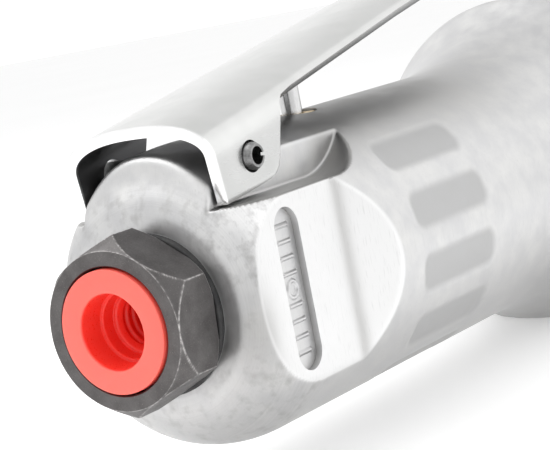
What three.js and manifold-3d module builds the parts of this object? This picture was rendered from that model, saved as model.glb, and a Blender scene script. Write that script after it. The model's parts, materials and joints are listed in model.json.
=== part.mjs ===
// Straight pneumatic air hammer with a throttle lever, as an assembly of separate pieces.
// Millimetres, +X forward along the tool axis, +Z up (the lever side), origin under the middle of the tool.
// Every piece is drawn in tool coordinates, with x = 0 on the rear face of the air inlet and the tool axis
// at y = z = 0. One group then moves the whole tool so that it stands on z = 0.

import * as THREE from 'three';
import { mergeVertices } from 'three/addons/utils/BufferGeometryUtils.js';
import Module from 'manifold-3d';

const wasm = await Module();
wasm.setup();

// ---------------------------------------------------------------- driving dimensions

const GAP = 0.3;                  // clearance between two separate solids
const HOUSING_SIDES = 48;         // facets of the housing's round surfaces
const ROUND_SIDES = 32;           // facets of the other turned pieces
const SMALL_SIDES = 24;           // facets of small turned pieces
const PIN_SIDES = 12;             // facets of pins and drilled holes

const plugProud = 0.35;           // the dust plug stands out of the inlet face by this much
const springTip = 200;            // centre of the retainer spring's last wire section
const springReach = 201.755;      // front of the retainer spring
const gripRadius = 18.5;          // round grip of the housing
const hexAcrossFlats = 19;        // spanner size of the inlet bushing
const boreRadius = 9.75;          // cylinder bore in which the piston runs
const chiselBoreRadius = 5.15;    // nose bore for a 10.2 mm round chisel shank

// housing
const housingRear = 8.2;
const housingFront = 113;
const domeEnd = 19.5;             // the rear dome meets the grip here
const domeRearRadius = 10.5;
const domePower = 2.19;           // exponent of the dome's superellipse
const flareStart = 78;
const flareEnd = 107;
const flareRadius = 26.5;
const restHeight = 24.5;          // tool axis above the flat under the flare
const sideFlat = 14.6;            // distance of the side flats from the axis
const flatEnd = 28.05;            // where the side flats start to ramp out to the grip
const rampEnd = 34.9;
const pocketFloor = 11.3;         // height of the ledges beside the lever lug
const pocketEnd = 30.5;           // where the ledge floor starts to curve up
const pocketCutter = 11.7;        // radius of the curved pocket end
const lugHalfWidth = 9.4;
const lugRear = 10.4;
const lugTop = 18.7;
const mainBore = 15.2;            // bore for the valve block and the cylinder
const mainBoreRear = 52;
const inletBore = 8.6;            // tapped bore for the inlet bushing
const sealSeat = [9.8, 0.7];      // radius and depth of the seat for the inlet seal ring
const chamberRadius = 7.3;        // throttle chamber
const chamberRear = 24;
const chamberFront = 39.3;
const airPassage = 5.5;           // bore from the throttle chamber to the valve block
const stemWell = [7.9, 3.3];      // floor and radius of the well for the stem's bushing and seal
const stemPassage = 1.8;          // radius of the stem's hole into the throttle chamber

// throttle
const pivotX = 17.56;             // lever pivot
const pivotZ = 16.14;
const pinHoleRadius = 1.95;
const stemX = 44;
const stemRadius = 1.4;
const leverSheet = 1.4;
const leverHalfWidth = 11.2;
const leverSlope = 0.172;         // rise of the lever for each millimetre forward
const leverHeightAtInlet = 20.35; // height of the lever's top line at x = 0
const leverFront = 92;
const leverTipRadius = 8;         // the lever narrows towards its round front end

// front end
const cylinderRear = 64.3;
const cylinderFront = 168;
const noseRadius = 12.6;
const springWire = 2.0;           // radius of the retainer spring's wire

// ---------------------------------------------------------------- shape helpers

function solid(geometry) {
  const plain = geometry.index ? geometry.toNonIndexed() : geometry.clone();
  plain.deleteAttribute('normal');
  plain.deleteAttribute('uv');
  const merged = mergeVertices(plain, 1e-4);
  const corners = [];
  for (let i = 0; i < merged.index.count; i += 3) {
    const [a, b, c] = [merged.index.getX(i), merged.index.getX(i + 1), merged.index.getX(i + 2)];
    if (a !== b && b !== c && a !== c) corners.push(a, b, c);
  }
  return new wasm.Manifold(new wasm.Mesh({
    numProp: 3,
    vertProperties: new Float32Array(merged.attributes.position.array),
    triVerts: new Uint32Array(corners),
  }));
}

function geometryOf(manifold) {
  const mesh = manifold.getMesh();
  const geometry = new THREE.BufferGeometry();
  geometry.setAttribute('position', new THREE.BufferAttribute(mesh.vertProperties, 3));
  geometry.setIndex(new THREE.BufferAttribute(mesh.triVerts, 1));
  geometry.computeVertexNormals();
  return geometry;
}

// A closed profile of [x, radius] points turned about the tool axis, with a flat facet at the bottom.
// The points go round from the inner rear corner to the outer rear corner and on to the front.
function turned(profile, sides = ROUND_SIDES) {
  const points = [...profile, profile[0]].map(([x, radius]) => new THREE.Vector2(radius, x));
  const geometry = new THREE.LatheGeometry(points, sides, Math.PI / sides, Math.PI * 2);
  return solid(geometry.rotateZ(-Math.PI / 2));
}

// A plain ring or disc between two x places.
function ring(rear, front, inner, outer, sides = ROUND_SIDES) {
  return turned([[rear, inner], [rear, outer], [front, outer], [front, inner]], sides);
}

function box(lowX, highX, lowY, highY, lowZ, highZ) {
  const geometry = new THREE.BoxGeometry(highX - lowX, highY - lowY, highZ - lowZ);
  geometry.translate((lowX + highX) / 2, (lowY + highY) / 2, (lowZ + highZ) / 2);
  return solid(geometry);
}

// A round bar along Z, from one height to another.
function upright(x, lowZ, highZ, radius, sides = PIN_SIDES) {
  const geometry = new THREE.CylinderGeometry(radius, radius, highZ - lowZ, sides);
  return solid(geometry.rotateX(Math.PI / 2).translate(x, 0, (lowZ + highZ) / 2));
}

// A round bar along Y through a point of the XZ plane.
function crosswise(x, z, halfLength, radius, sides = PIN_SIDES) {
  const geometry = new THREE.CylinderGeometry(radius, radius, 2 * halfLength, sides);
  return solid(geometry.translate(x, 0, z));
}

// A round bar along X through a point of the YZ plane.
function lengthwise(lowX, highX, y, z, radius, sides = PIN_SIDES) {
  const geometry = new THREE.CylinderGeometry(radius, radius, highX - lowX, sides);
  return solid(geometry.rotateZ(Math.PI / 2).translate((lowX + highX) / 2, y, z));
}

// An outline in the XY plane, extruded from one height to another.
function plate(outline, lowZ, highZ) {
  const shape = new THREE.Shape(outline.map(([x, y]) => new THREE.Vector2(x, y)));
  const geometry = new THREE.ExtrudeGeometry(shape, { depth: highZ - lowZ, bevelEnabled: false });
  return solid(geometry.translate(0, 0, lowZ));
}

// An outline in the XZ plane, extruded from one y place to another.
function sideways(outline, lowY, highY) {
  const shape = new THREE.Shape(outline.map(([x, z]) => new THREE.Vector2(x, z)));
  const geometry = new THREE.ExtrudeGeometry(shape, { depth: highY - lowY, bevelEnabled: false });
  return solid(geometry.rotateX(Math.PI / 2).translate(0, highY, 0));
}

// An outline in the YZ plane, extruded from one x place to another.
function forward(outline, lowX, highX) {
  const shape = new THREE.Shape(outline.map(([y, z]) => new THREE.Vector2(y, z)));
  const geometry = new THREE.ExtrudeGeometry(shape, { depth: highX - lowX, bevelEnabled: false });
  return solid(geometry.rotateX(Math.PI / 2).rotateZ(Math.PI / 2).translate(lowX, 0, 0));
}

function polygon(sides, radius, turn = 0) {
  const corners = [];
  for (let i = 0; i < sides; i += 1) {
    const angle = turn + (i * Math.PI * 2) / sides;
    corners.push([radius * Math.cos(angle), radius * Math.sin(angle)]);
  }
  return corners;
}

// Points of an arc from one angle to another, both included.
function arc(centreX, centreY, radius, from, to, steps) {
  const points = [];
  for (let i = 0; i <= steps; i += 1) {
    const angle = from + ((to - from) * i) / steps;
    points.push([centreX + radius * Math.cos(angle), centreY + radius * Math.sin(angle)]);
  }
  return points;
}

function joined(...pieces) {
  return pieces.reduce((whole, piece) => whole.add(piece));
}

function cut(whole, ...tools) {
  return tools.reduce((rest, tool) => rest.subtract(tool), whole);
}

// A wire of round section that winds about the tool axis through [x, radius] places, one for each step.
class Winding extends THREE.Curve {
  constructor(turns, place) {
    super();
    this.turns = turns;
    this.place = place;
  }

  getPoint(t, target = new THREE.Vector3()) {
    const angle = t * this.turns * Math.PI * 2;
    const [x, radius] = this.place(t);
    return target.set(x, radius * Math.sin(angle), radius * Math.cos(angle));
  }
}

function coil(turns, place, wireRadius, stepsPerTurn, sides) {
  const section = new THREE.Shape(polygon(sides, wireRadius).map(([x, y]) => new THREE.Vector2(x, y)));
  const path = new Winding(turns, place);
  const steps = Math.round(turns * stepsPerTurn);
  return solid(new THREE.ExtrudeGeometry(section, { steps, extrudePath: path, bevelEnabled: false }));
}

// ---------------------------------------------------------------- housing

function housingProfile() {
  const outer = [];
  const domeSteps = 10;
  for (let i = 0; i <= domeSteps; i += 1) {
    const u = Math.cos((i / domeSteps) * (Math.PI / 2));
    const rise = (1 - u ** domePower) ** (1 / domePower);
    outer.push([domeEnd - (domeEnd - housingRear) * u, domeRearRadius + (gripRadius - domeRearRadius) * rise]);
  }
  const height = flareRadius - gripRadius;
  const run = flareEnd - flareStart;
  const sweep = (run ** 2 + height ** 2) / (2 * height);
  const flare = arc(flareStart, gripRadius + sweep, sweep, -Math.PI / 2, -Math.PI / 2 + Math.asin(run / sweep), 8);
  const lip = arc(housingFront - 3, flareRadius - 3, 3, Math.PI / 2, 0, 4);
  return [...outer, ...flare, ...lip];
}

// Both sides carry a flat that ramps out to the grip.
function sideFlatCut(side) {
  const beyond = gripRadius + 12;
  const slope = (gripRadius - sideFlat) / (rampEnd - flatEnd);
  const outline = [
    [0, sideFlat],
    [flatEnd - 0.8, sideFlat],
    [flatEnd + 0.8, sideFlat + 0.8 * slope],
    [rampEnd + 2, gripRadius + 2 * slope],
    [rampEnd + 2, beyond],
    [0, beyond],
  ].map(([x, y]) => [x, side * y]);
  if (side < 0) outline.reverse();
  return plate(outline, -gripRadius - 1, gripRadius + 1);
}

// Both sides of the lever lug are milled down to a ledge whose front end sweeps up.
function ledgeCut(side) {
  const top = gripRadius + 4;
  const sweepTop = Math.asin((top - pocketFloor - pocketCutter) / pocketCutter);
  const end = arc(pocketEnd, pocketFloor + pocketCutter, pocketCutter, -Math.PI / 2, sweepTop, 8);
  const outline = [[0, pocketFloor], ...end, [0, top]];
  const [inner, outer] = [lugHalfWidth, gripRadius + 10];
  return side < 0 ? sideways(outline, -outer, -inner) : sideways(outline, inner, outer);
}

// The lug under the lever, rounded at its rear.
function lug() {
  const shoulder = 10.2;
  const arch = [
    [lugHalfWidth, 6],
    [lugHalfWidth, lugTop - shoulder + 4],
    ...arc(0, lugTop - shoulder, shoulder, Math.PI * 0.13, Math.PI * 0.87, 12),
    [-lugHalfWidth, lugTop - shoulder + 4],
    [-lugHalfWidth, 6],
  ];
  const rear = forward(arch, lugRear, pocketEnd);
  const roof = ring(lugRear + 2.5, domeEnd + 2, 4, gripRadius, HOUSING_SIDES);
  const roofInLug = roof.intersect(box(0, domeEnd + 10, -lugHalfWidth, lugHalfWidth, 10, 30));
  return joined(rear, roofInLug);
}

function stadium(halfWidth, halfLength, steps) {
  const reach = halfLength - halfWidth;
  return [
    ...arc(0, reach, halfWidth, 0, Math.PI, steps),
    ...arc(0, -reach, halfWidth, Math.PI, Math.PI * 2, steps),
  ];
}

function lubricationSlot() {
  const [centreX, halfWidth, halfLength, depth] = [16.95, 2.5, 9.8, 0.9];
  const outline = stadium(halfWidth, halfLength, 8).map(([x, z]) => [x + centreX, z]);
  return sideways(outline, -gripRadius - 1, -sideFlat + depth);
}

// Shallow finger pads round the grip. The three places under the lever have none.
function fingerPads() {
  const [rear, front, halfWidth, depth, places] = [40, 59.2, 2.6, 0.4, 14];
  const corner = 1.2;
  const outline = [
    ...arc(front - corner, halfWidth - corner, corner, 0, Math.PI / 2, 2),
    ...arc(rear + corner, halfWidth - corner, corner, Math.PI / 2, Math.PI, 2),
    ...arc(rear + corner, -halfWidth + corner, corner, Math.PI, Math.PI * 1.5, 2),
    ...arc(front - corner, -halfWidth + corner, corner, Math.PI * 1.5, Math.PI * 2, 2),
  ];
  const pads = [];
  for (let place = 2; place <= places - 2; place += 1) {
    const pad = plate(outline, gripRadius - depth, gripRadius + 2);
    pads.push(pad.rotate([(place * 360) / places, 0, 0]));
  }
  return pads;
}

function housing() {
  const profile = [[housingRear, 3], ...housingProfile(), [housingFront, 3]];
  const blank = cut(turned(profile, HOUSING_SIDES), ledgeCut(-1), ledgeCut(1), sideFlatCut(-1), sideFlatCut(1));
  const bores = [
    ring(housingRear - 1, housingRear + sealSeat[1], 0, sealSeat[0]),
    ring(0, chamberRear, 0, inletBore),
    ring(chamberRear - 1, chamberFront, 0, chamberRadius, SMALL_SIDES),
    ring(chamberFront - 1, mainBoreRear + 1, 0, airPassage, SMALL_SIDES),
    ring(mainBoreRear, housingFront + 1, 0, mainBore, HOUSING_SIDES),
    upright(stemX, stemWell[0], gripRadius + 4, stemWell[1]),
    upright(stemX, 2, stemWell[0] + 0.1, stemPassage),
    crosswise(pivotX, pivotZ, gripRadius + 2, pinHoleRadius),
  ];
  const flatUnderFlare = box(flareStart, housingFront + 1, -flareRadius, flareRadius, -flareRadius - 2, -restHeight);
  return cut(joined(blank, lug()), ...bores, lubricationSlot(), ...fingerPads(), flatUnderFlare);
}

// ---------------------------------------------------------------- air inlet

const hexLength = 7.0;
const hexTurn = 0.07;             // angle by which the hexagon stands off from a corner at the top
const bushingFront = 22.5;
const bushingThread = 8.3;        // radius over the bushing's thread
const plugFlange = 7.5;           // radius of the dust plug's flange
const plugFlangeFront = 2.1;

function inletBushing() {
  const corner = hexAcrossFlats / Math.sqrt(3);
  const rounded = turned([
    [0, 3],
    [0, 9.45],
    [2.27, corner],
    [6.17, corner],
    [hexLength, 9.6],
    [hexLength, 3],
  ]);
  const hexagon = forward(polygon(6, corner, Math.PI / 2 + hexTurn), 0, hexLength);
  const thread = ring(hexLength - 1, bushingFront, 3, bushingThread);
  const mouth = ring(-1, plugFlangeFront + GAP, 0, plugFlange + GAP);
  const taperedBore = turned([[-1, 0], [-1, 6.3], [bushingFront + 1, 5.9], [bushingFront + 1, 0]]);
  return cut(joined(rounded.intersect(hexagon), thread), mouth, taperedBore);
}

function inletSealRing() {
  return ring(hexLength + GAP, housingRear + sealSeat[1] - GAP, bushingThread + GAP, sealSeat[0] - GAP - 0.1);
}

// The dust plug is a hollow stopper with a flange; its inside steps down like a screw thread.
function inletPlug() {
  return turned([
    [-plugProud, 4.55],
    [-plugProud, plugFlange],
    [plugFlangeFront, plugFlange],
    [plugFlangeFront, 5.5],
    [12.6, 5.3],
    [13.2, 4.9],
    [13.2, 0],
    [12, 0],
    [12, 3.5],
    [5.9, 3.6],
    [5.6, 3.9],
    [3.9, 3.9],
    [3.6, 4.3],
    [1.6, 4.3],
  ], SMALL_SIDES);
}

function inletScreen() {
  const disc = ring(bushingFront + GAP, chamberRear - GAP, 0, inletBore - 0.4, SMALL_SIDES);
  const holes = [];
  const holeRadius = 0.8;
  const circles = [[4, 2.0], [10, 4.6]];          // holes in each circle and the circle's radius
  for (const [count, radius] of circles) {
    for (const [y, z] of polygon(count, radius)) {
      holes.push(lengthwise(bushingFront, chamberRear, y, z, holeRadius, 8));
    }
  }
  return cut(disc, ...holes);
}

// ---------------------------------------------------------------- throttle valve

const valveRear = 31.8;
const valveFace = 33.4;
const valveRadius = 6.2;
const valveTail = 1.2;            // radius of the tail that the stem pushes
const valveTailFront = 48.5;
const stemTop = 25.9;
const stemTip = 1.7;              // height of the stem's lower end, just above the tail

function throttleValve() {
  return turned([
    [valveRear, 0],
    [valveRear, valveRadius],
    [valveFace, valveRadius],
    [valveFace, valveTail],
    [valveTailFront - 0.3, valveTail],
    [valveTailFront, valveTail - 0.3],
    [valveTailFront, 0],
  ], SMALL_SIDES);
}

function valveSeat() {
  return ring(valveFace + GAP, chamberFront - GAP, 3.6, chamberRadius - GAP, SMALL_SIDES);
}

function throttleSpring() {
  const [rear, front] = [chamberRear + GAP, valveRear - GAP];
  const [wire, meanRadius, turns] = [0.45, 4.6, 4];
  return coil(turns, (t) => [rear + wire + (front - rear - 2 * wire) * t, meanRadius], wire, 12, 5);
}

function valveStem() {
  const taper = 1.2;
  const pin = upright(stemX, stemTip + taper - 0.2, stemTop, stemRadius);
  const tip = new THREE.CylinderGeometry(stemRadius, 0.5, taper, PIN_SIDES);
  return joined(pin, solid(tip.rotateX(Math.PI / 2).translate(stemX, 0, stemTip + taper / 2)));
}

function stemBushing() {
  const solidBar = upright(stemX, stemWell[0] + 1.9, gripRadius - GAP, stemWell[1] - GAP);
  return cut(solidBar, upright(stemX, stemWell[0], gripRadius + 1, stemRadius + GAP));
}

function stemSealRing() {
  const solidBar = upright(stemX, stemWell[0] + GAP, stemWell[0] + 1.6, stemWell[1] - GAP);
  return cut(solidBar, upright(stemX, stemWell[0], stemWell[0] + 2, stemRadius + GAP));
}

// ---------------------------------------------------------------- throttle lever

const leverCrown = 5;             // how far the crowned top falls to where the legs start
const leverRear = 9.9;

const leverTop = (x) => leverHeightAtInlet + leverSlope * x;

// The lever is one folded sheet: a crowned top with two legs. The curve is the top's half section.
function crown(halfWidth, drop, steps) {
  const power = 2.4;
  const points = [];
  for (let i = 0; i <= steps; i += 1) {
    const y = Math.sin((i / steps) * (Math.PI / 2));
    points.push([halfWidth * y, -drop * (1 - (1 - y ** power) ** (1 / power))]);
  }
  return points;
}

function mirrored(half) {
  const left = half.slice(1).map(([y, z]) => [-y, z]).reverse();
  return [...left, ...half];
}

function leverChannel() {
  const legs = 16;
  const outer = mirrored(crown(leverHalfWidth, leverCrown, 8));
  const inner = mirrored(crown(leverHalfWidth - leverSheet, leverCrown - 1, 8)).map(([y, z]) => [y, z - leverSheet]);
  const outline = [
    [-leverHalfWidth, -legs],
    ...outer,
    [leverHalfWidth, -legs],
    [leverHalfWidth - leverSheet, -legs],
    ...inner.reverse(),
    [-leverHalfWidth + leverSheet, -legs],
  ];
  const channel = forward(outline.reverse(), -5, leverFront + 20);
  const tilt = THREE.MathUtils.radToDeg(Math.atan(leverSlope));
  return channel.rotate([0, -tilt, 0]).translate([0, 0, leverHeightAtInlet]);
}

// Side outline of the lever: ears round the pivot, then a flange that gets narrower towards the front.
function leverSide() {
  return sideways([
    [leverRear, leverTop(leverRear) + 2],
    [11.2, 11.7],
    [20.6, 12.8],
    [22.2, 13.3],
    [23.2, 14.5],
    [25.9, 21.3],
    [28.5, 22.3],
    [62, leverTop(62) - 2.1],
    [leverFront + 2, leverTop(leverFront + 2) - 2.1],
    [leverFront + 2, leverTop(leverFront) + 3],
  ].reverse(), -20, 20);
}

function leverPlan() {
  const taperStart = 22;
  return plate([
    [0, -20],
    [taperStart, -20],
    [taperStart, -leverHalfWidth - 0.1],
    ...arc(leverFront - leverTipRadius, 0, leverTipRadius, -Math.PI / 2, Math.PI / 2, 12),
    [taperStart, leverHalfWidth + 0.1],
    [taperStart, 20],
    [0, 20],
  ], 0, 60);
}

function throttleLever() {
  const sheet = leverChannel().intersect(leverSide()).intersect(leverPlan());
  return cut(sheet, crosswise(pivotX, pivotZ, 20, pinHoleRadius));
}

// A slotted spring pin: a rolled tube that is open along one side.
function leverPin() {
  const halfLength = leverHalfWidth + 0.9;
  const halfOpening = 0.25;
  const tube = cut(
    crosswise(pivotX, pivotZ, halfLength, pinHoleRadius - GAP),
    crosswise(pivotX, pivotZ, halfLength + 1, 1.1),
  );
  const [low, high] = [pivotZ - halfOpening, pivotZ + halfOpening];
  return cut(tube, box(pivotX, pivotX + 4, -halfLength - 1, halfLength + 1, low, high));
}

// ---------------------------------------------------------------- valve block

const chestRear = mainBoreRear + GAP;
const chestFront = 58.2;
const coverRear = chestFront + GAP;
const coverFront = cylinderRear - GAP;
const blockRadius = mainBore - GAP;
const valvePocket = 9.5;
const [dowelY, dowelRadius, dowelRear, dowelFront] = [12.4, 1.2, 54, 62.5];

function airPorts(rear, front, circle) {
  return polygon(6, circle).map(([y, z]) => lengthwise(rear, front, y, z, 1.3, 8));
}

function dowelHole(rear, front) {
  return lengthwise(rear, front, dowelY, 0, dowelRadius + GAP);
}

function valveChest() {
  const disc = ring(chestRear, chestFront, 3, blockRadius);
  const pocket = ring(56.8, chestFront + 1, 0, valvePocket);
  return cut(disc, pocket, ...airPorts(chestRear - 1, 57.5, 6.4), dowelHole(dowelRear - GAP, chestFront + 1));
}

function valveCover() {
  const disc = ring(coverRear, coverFront, 2.5, blockRadius);
  const pocket = ring(coverRear - 1, 59.6, 0, valvePocket);
  return cut(disc, pocket, ...airPorts(59, coverFront + 1, 6.4), dowelHole(coverRear - 1, dowelFront + GAP));
}

function flapperValve() {
  return ring(57.1, 58.1, 3.2, valvePocket - GAP, SMALL_SIDES);
}

function dowelPin() {
  return lengthwise(dowelRear, dowelFront, dowelY, 0, dowelRadius);
}

// ---------------------------------------------------------------- cylinder and front end

const nutRear = 115.6;
const nutFront = 125;
const nutRadius = 20.5;
const nutFlats = 18;              // distance of the two spanner flats from the axis
const barrelRadius = 16.5;
const boreEnd = 141.8;
const portX = 131;                // exhaust ports, under the deflector
const [grooveRear, grooveFront, grooveRadius] = [108, 110.6, 13.1];

function cylinder() {
  const body = turned([
    [cylinderRear, boreRadius],
    [cylinderRear, blockRadius],
    [grooveRear, blockRadius],
    [grooveRear, grooveRadius],
    [grooveFront, grooveRadius],
    [grooveFront, blockRadius],
    [nutRear, blockRadius],
    [nutRear, nutRadius],
    [nutFront - 1, nutRadius],
    [nutFront, nutRadius - 1],
    [nutFront, barrelRadius],
    [139, barrelRadius],
    [147, noseRadius],
    [cylinderFront - 1.2, noseRadius],
    [cylinderFront, noseRadius - 1.2],
    [cylinderFront, chiselBoreRadius + 0.8],
    [cylinderFront - 0.8, chiselBoreRadius],
    [boreEnd, chiselBoreRadius],
    [boreEnd, boreRadius],
  ]);
  const portCount = 6;
  const ports = [];
  for (let i = 0; i < portCount; i += 1) {
    ports.push(upright(portX, 6, 20, 1.8).rotate([30 + (i * 360) / portCount, 0, 0]));
  }
  const beyond = nutRadius + 4;
  const spannerFlats = [
    box(nutRear - 1, nutFront + 0.5, nutFlats, beyond, -beyond, beyond),
    box(nutRear - 1, nutFront + 0.5, -beyond, -nutFlats, -beyond, beyond),
  ];
  return cut(body, ...ports, ...spannerFlats);
}

function cylinderSealRing() {
  return ring(grooveRear + GAP, grooveFront - GAP, grooveRadius + GAP, blockRadius, SMALL_SIDES);
}

function lockRing() {
  return ring(housingFront + GAP, nutRear - GAP, mainBore, 19.5);
}

// The piston starts at the rear of the bore and strikes the chisel at the front.
function piston() {
  const [rear, front, radius, chamfer] = [66, 101, boreRadius - 0.35, 0.8];
  return turned([
    [rear, 0],
    [rear, radius - chamfer],
    [rear + chamfer, radius],
    [front - chamfer, radius],
    [front, radius - chamfer],
    [front, 0],
  ]);
}

function exhaustDeflector() {
  const [seat, bore, outer] = [barrelRadius + GAP, 18.1, 19.6];
  return turned([
    [126, seat],
    [126, outer - 1.2],
    [127.5, outer],
    [135, outer],
    [139, outer - 0.7],
    [139, bore],
    [128.5, bore],
    [128.5, seat],
  ]);
}

function retainerSpring() {
  const [rear, seated, front] = [150.5, 166, springTip];
  const [wide, narrow] = [noseRadius + GAP + springWire, 8.2];
  const threadTurns = 3;
  const turns = 7.5;
  const seatedShare = threadTurns / turns;
  const place = (t) => {
    if (t < seatedShare) return [rear + (seated - rear) * (t / seatedShare), wide];
    const u = (t - seatedShare) / (1 - seatedShare);
    const eased = (1 - Math.cos(u * Math.PI)) / 2;
    return [seated + (front - seated) * u, wide + (narrow - wide) * eased];
  };
  return coil(turns, place, springWire, 18, 6);
}

// ---------------------------------------------------------------- assembly

const finishes = {
  satinAluminium: { color: 0xcdcbc8, roughness: 0.42, metalness: 0.9 },
  blackOxide: { color: 0x4a4a4c, roughness: 0.5, metalness: 0.85 },
  nickel: { color: 0xe6e6e2, roughness: 0.18, metalness: 1 },
  darkSteel: { color: 0x5b5a58, roughness: 0.35, metalness: 1 },
  groundSteel: { color: 0xb4b6b8, roughness: 0.25, metalness: 1 },
  redPlastic: { color: 0xff3a2c, roughness: 0.45, metalness: 0 },
  rubber: { color: 0x1c1c1d, roughness: 0.8, metalness: 0 },
  brass: { color: 0xc9a24f, roughness: 0.35, metalness: 1 },
};

const pieces = [
  ['housing', housing, 'satinAluminium'],
  ['inlet_bushing', inletBushing, 'blackOxide'],
  ['inlet_seal_ring', inletSealRing, 'rubber'],
  ['inlet_dust_plug', inletPlug, 'redPlastic'],
  ['inlet_screen', inletScreen, 'brass'],
  ['throttle_lever', throttleLever, 'nickel'],
  ['lever_pin', leverPin, 'darkSteel'],
  ['valve_stem', valveStem, 'groundSteel'],
  ['stem_bushing', stemBushing, 'brass'],
  ['stem_seal_ring', stemSealRing, 'rubber'],
  ['throttle_valve', throttleValve, 'groundSteel'],
  ['throttle_valve_seat', valveSeat, 'brass'],
  ['throttle_spring', throttleSpring, 'groundSteel'],
  ['valve_chest', valveChest, 'groundSteel'],
  ['valve_cover', valveCover, 'groundSteel'],
  ['flapper_valve', flapperValve, 'darkSteel'],
  ['dowel_pin', dowelPin, 'groundSteel'],
  ['cylinder', cylinder, 'darkSteel'],
  ['cylinder_seal_ring', cylinderSealRing, 'rubber'],
  ['lock_ring', lockRing, 'groundSteel'],
  ['piston', piston, 'groundSteel'],
  ['exhaust_deflector', exhaustDeflector, 'rubber'],
  ['retainer_spring', retainerSpring, 'groundSteel'],
];

const group = new THREE.Group();
const tool = new THREE.Group();
tool.position.set(-(springReach - plugProud) / 2, 0, restHeight);
group.add(tool);

for (const [name, build, finish] of pieces) {
  const mesh = new THREE.Mesh(geometryOf(build()), new THREE.MeshStandardMaterial(finishes[finish]));
  mesh.name = name;
  tool.add(mesh);
}

export default group;
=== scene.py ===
"""Looks of a pneumatic air hammer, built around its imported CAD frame.

Sizes are in millimetres in tool coordinates: x = 0 on the rear face of the air inlet, the tool axis at
y = z = 0, +X forward, +Z towards the lever. placed() turns them into the frame's metres.
"""

import json
import math

import bmesh
import bpy
import numpy as np
from mathutils import Matrix, Vector


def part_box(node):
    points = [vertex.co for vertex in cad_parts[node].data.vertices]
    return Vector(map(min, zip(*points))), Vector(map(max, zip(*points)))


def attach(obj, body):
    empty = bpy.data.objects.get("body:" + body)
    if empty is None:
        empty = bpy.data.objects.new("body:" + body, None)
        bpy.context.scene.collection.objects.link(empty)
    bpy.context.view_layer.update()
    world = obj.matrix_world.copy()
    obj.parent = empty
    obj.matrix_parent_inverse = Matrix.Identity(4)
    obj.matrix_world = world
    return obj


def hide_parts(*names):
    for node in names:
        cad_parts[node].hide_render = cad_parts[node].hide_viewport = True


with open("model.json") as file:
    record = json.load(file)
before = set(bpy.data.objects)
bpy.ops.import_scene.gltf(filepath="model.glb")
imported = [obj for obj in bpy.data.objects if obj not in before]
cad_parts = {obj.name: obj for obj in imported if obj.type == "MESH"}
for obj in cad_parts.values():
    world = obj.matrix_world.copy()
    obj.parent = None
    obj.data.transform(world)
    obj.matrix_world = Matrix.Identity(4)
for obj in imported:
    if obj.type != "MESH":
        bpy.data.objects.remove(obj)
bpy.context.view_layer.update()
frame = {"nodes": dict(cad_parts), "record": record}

# ------------------------------ places taken from the frame

MM = 0.001
INLET_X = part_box("inlet_bushing")[0].x
AXIS_Z = (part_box("piston")[0].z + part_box("piston")[1].z) / 2


def measured(node, axis):
    """Lowest and highest place of a CAD node along one axis, in tool millimetres."""
    index = "xyz".index(axis)
    shift = (INLET_X, 0.0, AXIS_Z)[index]
    low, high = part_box(node)
    return (low[index] - shift) / MM, (high[index] - shift) / MM


HOUSING_REAR, HOUSING_FRONT = measured("housing", "x")
FLARE_RADIUS = measured("housing", "y")[1]
REST_HEIGHT = -measured("housing", "z")[0]
LEVER_HALF_WIDTH = measured("throttle_lever", "y")[1]
LEVER_FRONT = measured("throttle_lever", "x")[1]
PIVOT_X = sum(measured("lever_pin", "x")) / 2
PIVOT_Z = sum(measured("lever_pin", "z")) / 2
STEM_X = sum(measured("valve_stem", "x")) / 2
NOSE_FRONT = measured("cylinder", "x")[1]

# ------------------------------ driving dimensions

GRIP_RADIUS = 18.5
DOME_END = 19.5  # the rear dome runs forward to here
DOME_REAR_RADIUS = 10.5
DOME_POWER = 2.19  # 2 would be an ellipse, and more is squarer
FLARE_START = 78.0
FLARE_END = 107.0
HOUSING_LIP = 3.0
SEAL_SEAT_RADIUS = 9.8

SIDE_FLAT = 14.6  # from the axis out to the flats
FLAT_END = 28.05  # the flats are level up to here, and then ramp out to the grip
RAMP_END = 34.9
POCKET_FLOOR = 11.3  # height of the ledges beside the lug
POCKET_END = 29.7  # the ledges are level up to here, and then sweep up
POCKET_SWEEP = 11.7
LUG_HALF_WIDTH = 9.4
LUG_REAR = 10.3
LUG_ARCH = 10.2
LUG_TOP = 18.7

LUG_REAR_FILLET = 1.6
LUG_FOOT_FILLET = 1.8
RAMP_FILLET = 0.5
FLAT_EDGE = 0.45
LEDGE_EDGE = 0.35
REST_EDGE = 0.4

SLOT_X = 16.95
SLOT_HALF_WIDTH = 2.5
SLOT_HALF_LENGTH = 9.8
SLOT_REACH = SLOT_HALF_LENGTH - SLOT_HALF_WIDTH
SLOT_DEPTH = 0.9
SLOT_MARK_HEIGHT = 0.3

PAD_PLACES = 14
PADS_LEFT_OUT = 2  # places each side of the top that have no pad
PAD_REAR = 40.0
PAD_FRONT = 59.2
PAD_HALF_WIDTH = 2.6
PAD_CORNER = 1.9
PAD_DEPTH = 0.2

HEX_ACROSS_FLATS = 19.0
HEX_TURN = 0.07  # radians that the hexagon stands off from a corner at the top
HEX_LENGTH = 7.0
PLUG_FLANGE_FRONT = 2.1

LEVER_SHEET = 1.4
LEVER_SLOPE = 0.172
LEVER_HEIGHT_AT_INLET = 20.35
LEVER_REAR = 9.9
LEVER_LEAN = 0.1176  # of the rear edge, for each millimetre down
LEVER_TAPER_START = 22.0
LEVER_TAPER = 0.045  # off each side, for each millimetre forward
CROWN_DROP = 5.0
CROWN_POWER = 2.4
CROWN_STEPS = 400
PIN_HOLE_RADIUS = 1.95

TURNED_SIDES = 128

# ------------------------------ mesh helpers


def placed(points):
    """Tool millimetres to frame metres."""
    points = np.asarray(points, float)
    return points * MM + np.array([INLET_X, 0.0, AXIS_Z])


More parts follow.
